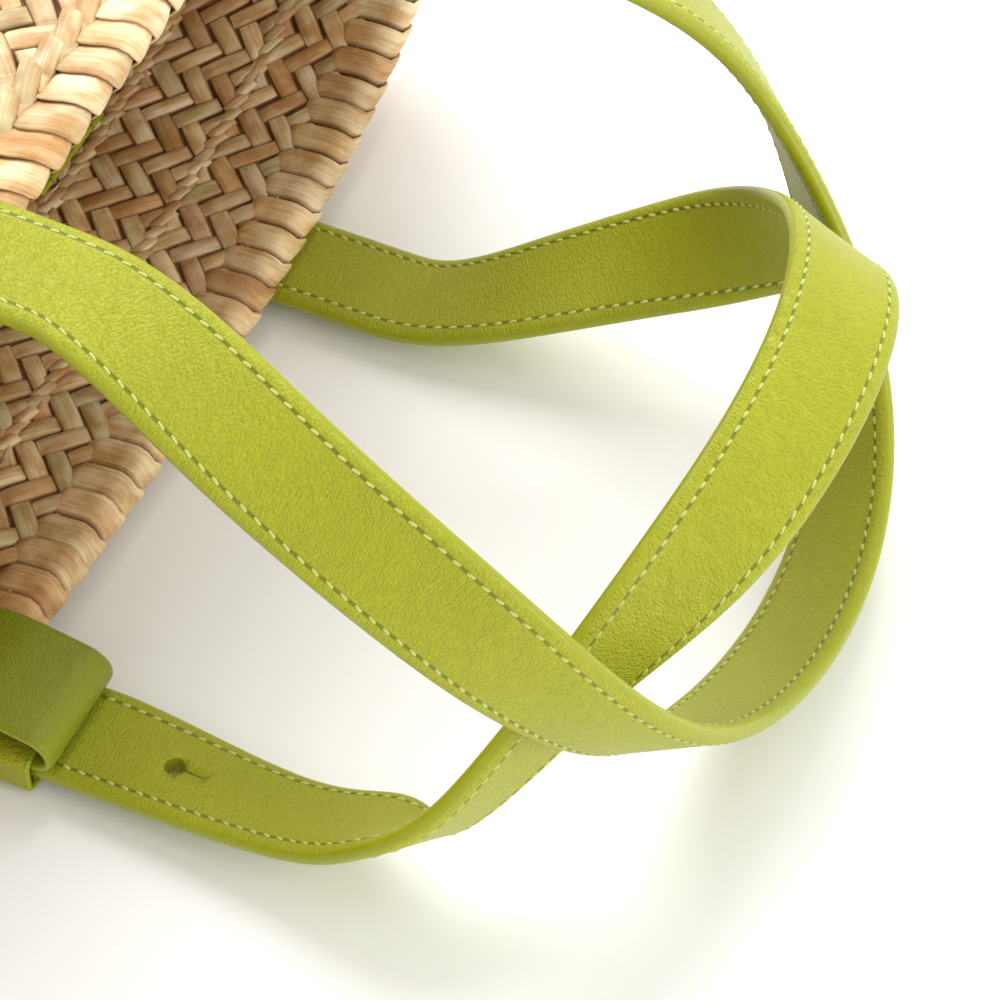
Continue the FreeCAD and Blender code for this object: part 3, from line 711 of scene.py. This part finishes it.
# Linen thread, waxed and pale lime, its two twisted plies showing as slanting bars, with painted shade
# darkening the grooves between them.
thread, tree, out = start_material("waxed_linen_thread")
coords = add(tree, "ShaderNodeAttribute", {"attribute_name": "strand"})
plies = add(tree, "ShaderNodeMapping", {"Rotation": (0, 0, 0.9), "Scale": (3.2, 3.2, 1.0)},
            Vector=coords.outputs["Vector"])
bars = add(tree, "ShaderNodeTexWave", {"Scale": 0.3, "Distortion": 0.6}, Vector=plies.outputs[0])
# Painted shade: the darker bars stand for the shade in the grooves between the plies.
shade = add(tree, "ShaderNodeMix", {"data_type": "RGBA", 6: linear("#a9ad45"), 7: linear("#dfe18c")},
            i0=bars.outputs["Fac"])
relief = add(tree, "ShaderNodeBump", {"Strength": 0.5, "Distance": 0.0002}, Height=bars.outputs["Fac"])
skin = add(tree, "ShaderNodeBsdfPrincipled", {"Roughness": 0.55, "Specular IOR Level": 0.4},
           Base_Color=shade.outputs[2], Normal=relief.outputs["Normal"])
tree.links.new(skin.outputs[0], out.inputs[0])


def stitches(name, at, line, across, through, rows, heights, spans):
    """Thread stitches along a strip: closed six-sided pods, one to each pitch between the
    holes, slanted a little, half sunk in the groove. rows are the places across, heights the
    thread's height through, and spans the stretches of the run that are sewn."""
    first, last = spans
    middle = (np.arange(math.ceil(first / STITCH_PITCH), int(last / STITCH_PITCH)) + 0.5) * STITCH_PITCH
    a = np.array([-1.2, -0.9, 0.0, 0.9, 1.2])
    fat = np.array([0.12, 0.38, 0.46, 0.38, 0.12])
    round_the = np.arange(6) * math.pi / 3
    pods = []
    for row in rows:
        for height in heights:
            run = (middle[:, None] + a).ravel()
            frame_at = [np.stack([np.interp(run, at, v[:, i]) for i in range(3)], -1)
                        for v in (line, across, through)]
            slant = np.tile(a * 0.17, len(middle)) * np.sign(row) * np.sign(height)
            sunk = np.tile(np.array([-0.35, -0.05, 0.05, -0.05, -0.35]), len(middle)) * np.sign(height)
            radius = np.tile(fat, len(middle))
            w = row + slant[:, None] + radius[:, None] * np.cos(round_the)
            h = height + sunk[:, None] + 0.8 * radius[:, None] * np.sin(round_the)
            pods.append(frame_at[0][:, None] + frame_at[1][:, None] * w[..., None]
                        + frame_at[2][:, None] * h[..., None])
    points = np.concatenate(pods).reshape(-1, 30, 3)
    sides = tube(np.arange(30).reshape(5, 6))
    ends = np.array([(3, 2, 1, 0), (5, 4, 3, 0), (24, 25, 26, 27), (24, 27, 28, 29)])
    quads = copies((sides, ends), 30, len(points))
    one = np.stack((np.repeat(a, 6), np.tile(np.sin(round_the), 5), np.zeros(30)), -1)
    strand = np.tile(one, (len(points), 1))
    return put_mesh(name, points, quads, [thread], strand=strand)


def cut_keyhole(strap, at, line, across, through_all, k, width):
    """Cut a round hole and its slit right through a strap with a closed many-sided cutter:
    a circle whose side towards the handle's loop runs out into a narrow slot. The strap's
    places are then found again from the nearest point of its line."""
    middle, through = line[k], through_all[k]
    forward = -unit(np.cross(across[k], through))
    turn = np.linspace(0.10, 2 * math.pi - 0.10, 28)
    outline = np.stack((2.7 * np.cos(turn), 2.7 * np.sin(turn)), -1)
    outline = np.concatenate((outline, [(3.2, -0.2), (8.4, -0.12), (8.4, 0.12), (3.2, 0.2)]))
    sideways = np.cross(through, forward)
    flat = middle + outline[:, :1] * forward + outline[:, 1:] * sideways
    points = np.concatenate((flat - through * width, flat + through * width)) * 0.001
    size = len(outline)
    sides = [(i, (i + 1) % size, size + (i + 1) % size, size + i) for i in range(size)]
    mesh = bpy.data.meshes.new("keyhole_punch")
    mesh.from_pydata(points.tolist(), [], sides + [tuple(range(size))[::-1], tuple(range(size, 2 * size))])
    punch = bpy.data.objects.new("keyhole_punch", mesh)
    bpy.context.scene.collection.objects.link(punch)
    cut = strap.modifiers.new("keyhole", "BOOLEAN")
    cut.object, cut.operation, cut.solver = punch, "DIFFERENCE", "EXACT"
    done = bpy.data.meshes.new_from_object(strap.evaluated_get(bpy.context.evaluated_depsgraph_get()))
    strap.modifiers.remove(cut)
    strap.data = done
    bpy.data.objects.remove(punch)
    points = np.zeros(len(done.vertices) * 3, np.float32)
    done.vertices.foreach_get("co", points)
    points = points.reshape(-1, 3) * 1000
    near = np.concatenate([np.argmin(((block[:, None] - line) ** 2).sum(-1), 1)
                           for block in np.array_split(points, 40)])
    gap = points - line[near]
    run = at[near] + (gap * np.cross(across[near], through_all[near])).sum(-1)
    store = np.stack((run, (gap * across[near]).sum(-1), np.sign((gap * through_all[near]).sum(-1))), -1)
    marks = done.attributes.get("strap") or done.attributes.new("strap", "FLOAT_VECTOR", "POINT")
    marks.data.foreach_set("vector", store.astype(np.float32).ravel())


ON_WALL = 0.9 + 0.2
ON_RIM = RIM_RADIUS - WALL / 2 + 0.2
HALF_STRAP, HALF_TAB = STRAP_THICKNESS / 2, 1.2
LIFT = HALF_TAB + 0.2 + HALF_STRAP
straps = {}
for name, loop, side, hinge_z in (("front", FRONT_LINE, 1, 164.0), ("back", BACK_LINE, -1, 7.5)):
    plain_y, tail_y = loop[0][1], loop[-1][1]
    bend_off = [side * (hinge_z - float(face_height(0.0, 0.0, y, side))) for y in (plain_y, tail_y)]
    plain = strip_line([(-100, ON_WALL + HALF_STRAP), (-17, ON_WALL + HALF_STRAP), (-12, ON_RIM + HALF_STRAP),
                        (3, ON_RIM + HALF_STRAP), (HINGE_OUT, bend_off[0])], plain_y, side)
    tail = strip_line([(-56, ON_WALL + HALF_TAB + LIFT), (-17, ON_WALL + HALF_TAB + LIFT),
                       (-12, ON_RIM + HALF_TAB + LIFT), (3, ON_RIM + HALF_TAB + LIFT), (20, 1.2 + LIFT),
                       (HINGE_OUT, bend_off[1])], tail_y, side)
    at, line, across, through = strap_course(plain, loop, tail, side)
    strap = carry(name + "_strap", at, line, across, through, STRAP_WIDTH, STRAP_THICKNESS, 0.32,
                  [lime_leather, lining_leather, edge_paint])
    k = len(line) // 2 + int(np.argmin(np.abs(line[len(line) // 2:, 0] - RIM_X - 49.0)))
    cut_keyhole(strap, at, line, across, through, k, 8.0)
    sewing = stitches(name + "_strap_stitching", at, line, across, through, (-11.2, 11.2),
                      (HALF_STRAP - 0.12, -HALF_STRAP + 0.12), (4.0, at[-1] - 4.0))
    for piece in (strap, sewing):
        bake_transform(piece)
    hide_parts(*[name + "_strap_" + part
                         for part in ("outer", "lining", "reinforcement", "plain_end", "tail")])
    straps[name] = (side, plain_y, tail_y)


# ---- anchor tabs, keepers and patches -----------------------------------------------------
# The buckled end's tab is one strip of calf folded over the mouth's edge, its two legs
# stitched to each other through the plait. A narrow keeper band stands in the fold and
# holds the strap's tail down; a lining patch inside backs the rivets of the plain end.

for name, (side, plain_y, tail_y) in straps.items():
    angle = math.pi * (0.5 - np.arange(13) / 12)
    nose = np.stack((20.0 + 4.2 * np.cos(angle), -3.0 + 4.2 * np.sin(angle)), -1).tolist()
    outer_leg = [(-46, ON_WALL + HALF_TAB), (-17, ON_WALL + HALF_TAB),
                 (-12, ON_RIM + HALF_TAB), (3, ON_RIM + HALF_TAB)]
    inner_leg = [(3, -WALL - ON_RIM - HALF_TAB), (-7, -WALL - ON_RIM - HALF_TAB),
                 (-10, -WALL - ON_WALL - HALF_TAB), (-46, -WALL - ON_WALL - HALF_TAB)]
    line = strip_line(outer_leg + nose + inner_leg, tail_y, side)
    at = np.concatenate(([0], np.cumsum(np.linalg.norm(np.diff(line, axis=0), axis=1))))
    forward = unit(np.gradient(line, axis=0))
    across = np.tile((0.0, 1.0, 0.0), (len(line), 1)) * side
    through = np.cross(forward, across)
    tab = carry(name + "_tab", at, line, across, through, TAB_WIDTH, 2 * HALF_TAB, 0.0,
                [plain_calf, plain_calf, edge_paint])
    sewing = stitches(name + "_tab_stitching", at, line, across, through, (-12.4, 12.4), (HALF_TAB,),
                      (at[-1] - 47.0, at[-1] - 3.0))
    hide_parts(name + "_anchor_tab")

    # The keeper: an 11 mm band of thin calf, sewn along both edges, closed into a ring.
    half_y = 17.0
    turn = np.linspace(0, 2 * math.pi, 121)[:-1]
    reach = (np.abs(np.cos(turn)) ** 8 + np.abs(np.sin(turn)) ** 8) ** -0.125
    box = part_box(name + "_keeper")
    centre = 500.0 * (np.array(box[0]) + np.array(box[1]))
    band = np.stack((np.full(120, centre[0]), centre[1] + half_y * reach * np.cos(turn),
                     centre[2] + (500.0 * (box[1].z - box[0].z) - 0.75) * reach * np.sin(turn)), -1)
    at = np.concatenate(([0], np.cumsum(np.linalg.norm(np.diff(band, axis=0), axis=1))))
    out = unit(np.gradient(band, axis=0))
    across = np.tile((1.0, 0.0, 0.0), (120, 1))
    keeper = carry(name + "_keeper_band", at, band, across, np.cross(out, across), 11.0, 1.5, 0.12,
                   [lime_leather, lining_leather, edge_paint], closed=True)
    hem = stitches(name + "_keeper_stitching", at, band, across, np.cross(out, across), (-4.1, 4.1), (-0.72,),
                   (0.0, at[-1]))
    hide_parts(name + "_keeper")

    # The backing patch, with rounded edges, flat against the plait inside.
    line = strip_line([(-97, -WALL - ON_WALL - 0.8), (-68, -WALL - ON_WALL - 0.8)], plain_y, side)
    at = np.concatenate(([0], np.cumsum(np.linalg.norm(np.diff(line, axis=0), axis=1))))
    across = np.tile((0.0, 1.0, 0.0), (len(line), 1)) * -side
    through = np.cross(unit(np.gradient(line, axis=0)), across)
    patch = carry(name + "_patch", at, line, across, through, STRAP_WIDTH + 4, 1.6, 0.0,
                  [lining_leather, lining_leather, edge_paint])
    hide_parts(name + "_backing_patch")
    for piece, finish in ((tab, "lime_leather"), (sewing, "lime_leather"), (keeper, "lime_leather"),
                          (hem, "lime_leather"), (patch, "lining_leather")):
        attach(piece, "basket")


# ---- rivets, studs and screws -------------------------------------------------------------
# Turned brass: domed rivet heads with their burrs and washers clenched inside, and a ball
# stud on each tab, held by a slotted screw from inside the bag.

brass, tree, out = start_material("turned_brass")
coords = add(tree, "ShaderNodeTexCoord")
turning = add(tree, "ShaderNodeTexNoise", {"Scale": 900.0, "Detail": 2.0}, Vector=coords.outputs["Object"])
tarnish = add(tree, "ShaderNodeTexNoise", {"Scale": 220.0, "Detail": 3.0}, Vector=coords.outputs["Object"])
colour = add(tree, "ShaderNodeMix", {"data_type": "RGBA", 6: linear("#e0bd72"), 7: linear("#b98f45")},
             i0=tarnish.outputs["Fac"])
gloss = add(tree, "ShaderNodeMapRange", {"To Min": 0.18, "To Max": 0.36}, Value=tarnish.outputs["Fac"])
relief = add(tree, "ShaderNodeBump", {"Strength": 0.15, "Distance": 0.0001}, Height=turning.outputs["Fac"])
skin = add(tree, "ShaderNodeBsdfPrincipled", {"Metallic": 1.0}, Base_Color=colour.outputs[2],
           Roughness=gloss.outputs[0], Normal=relief.outputs["Normal"])
tree.links.new(skin.outputs[0], out.inputs[0])


def turned(name, reaches, y, side, profile, slot_half=0.0):
    """Lathe work square to the wall: the profile's radii and offsets are spun round the pin's
    axis at each reach, 32 steps round, and closed on the axis. A slot is pressed in the last
    rows, where the place across it is less than slot_half."""
    profile = np.array(profile, float)
    turn = np.arange(32) * math.pi / 16
    parts = []
    for reach in reaches:
        foot = np.array((RIM_X + reach, y, float(face_height(reach, 0.0, y, side))))
        inner = np.array((RIM_X + reach, y, float(face_height(reach, -WALL - 1e-6, y, side))))
        ahead = np.array((RIM_X + reach + 1, y, float(face_height(reach + 1, 0.0, y, side))))
        along = unit(ahead - foot)
        out = np.cross(along, (0, 1, 0)) * (1 if np.cross(along, (0, 1, 0))[2] * side > 0 else -1)
        lost = side * (inner[2] - foot[2]) + WALL
        offset = profile[:, 1] + np.where(profile[:, 1] < -WALL, lost, 0)
        radius = profile[:, 0]
        spin = np.cos(turn)[:, None] * along + np.sin(turn)[:, None] * np.array((0, 1, 0))
        ring = foot + out * offset[:, None, None] + radius[:, None, None] * spin
        if slot_half:
            last_rows = np.arange(len(profile))[:, None] >= len(profile) - 3
            deep = (np.abs(radius[:, None] * np.sin(turn)) < slot_half) & last_rows
            ring = ring - np.where(deep, 0.7 * np.sign(offset[-1]), 0)[..., None] * out
        parts.append(ring)
    points = np.stack(parts)
    rows = len(profile)
    grid = np.arange(rows * 32).reshape(rows, 32)
    steps = np.arange(15)
    across_end = np.stack((steps, steps + 1, 30 - steps, (31 - steps) % 32), -1)
    caps = np.concatenate((grid[0][across_end], grid[-1][across_end][:, ::-1]))
    return put_mesh(name, points, copies((tube(grid), caps), grid.size, len(reaches)), [brass])


RIVETS, STUD = (-89.0, -76.0), (-23.0,)     # reaches of the pins, behind the mouth's edge


for name, (side, plain_y, tail_y) in straps.items():
    face = ON_WALL + STRAP_THICKNESS
    dome = [(4.0, face + 0.05), (4.5, face + 0.25), (4.5, face + 0.5), (4.3, face + 0.85), (3.7, face + 1.2),
            (2.8, face + 1.45), (1.6, face + 1.6), (0.4, face + 1.65)]
    heads = turned(name + "_rivet_heads", RIVETS, plain_y, side, [(0.4, face + 0.05)] + dome)
    inside = -WALL - ON_WALL - 1.6 - 0.15
    burrs = turned(name + "_rivet_burrs", RIVETS, plain_y, side,
                   [(0.3, inside - 0.7), (2.2, inside - 0.75), (3.2, inside - 0.95), (3.1, inside - 1.4),
                    (2.2, inside - 1.75), (0.9, inside - 1.8), (0.3, inside - 1.6)])
    washers = turned(name + "_rivet_washers", RIVETS, plain_y, side,
                     [(0.3, inside), (4.3, inside), (4.5, inside - 0.2), (4.5, inside - 0.55),
                      (4.2, inside - 0.8), (0.3, inside - 0.8)])
    neck = ON_WALL + 2 * HALF_TAB + 0.05
    top = ON_WALL + 2 * HALF_TAB + 0.2 + STRAP_THICKNESS
    stud = turned(name + "_ball_stud", STUD, tail_y, side,
                  [(0.4, neck), (2.8, neck), (2.7, top - 0.2), (2.5, top + 0.1), (2.9, top + 0.4),
                   (3.5, top + 0.8), (3.6, top + 1.4), (3.3, top + 2.0), (2.4, top + 2.5),
                   (1.2, top + 2.75), (0.4, top + 2.8)])
    under = -WALL - ON_WALL - 2 * HALF_TAB - 0.15
    screw = turned(name + "_slotted_screw", STUD, tail_y, side,
                   [(0.3, under), (3.9, under), (4.0, under - 0.3), (3.7, under - 0.8), (3.0, under - 1.2),
                    (1.9, under - 1.4), (1.0, under - 1.45), (0.3, under - 1.45)], slot_half=0.55)
    for piece, nodes in ((heads, [name + "_rivets"]), (burrs, []), (washers, [name + "_burr_washers"]),
                         (stud, [name + "_stud"]), (screw, [name + "_stud_screw"])):
        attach(piece, "basket")
        if nodes:
            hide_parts(*nodes)
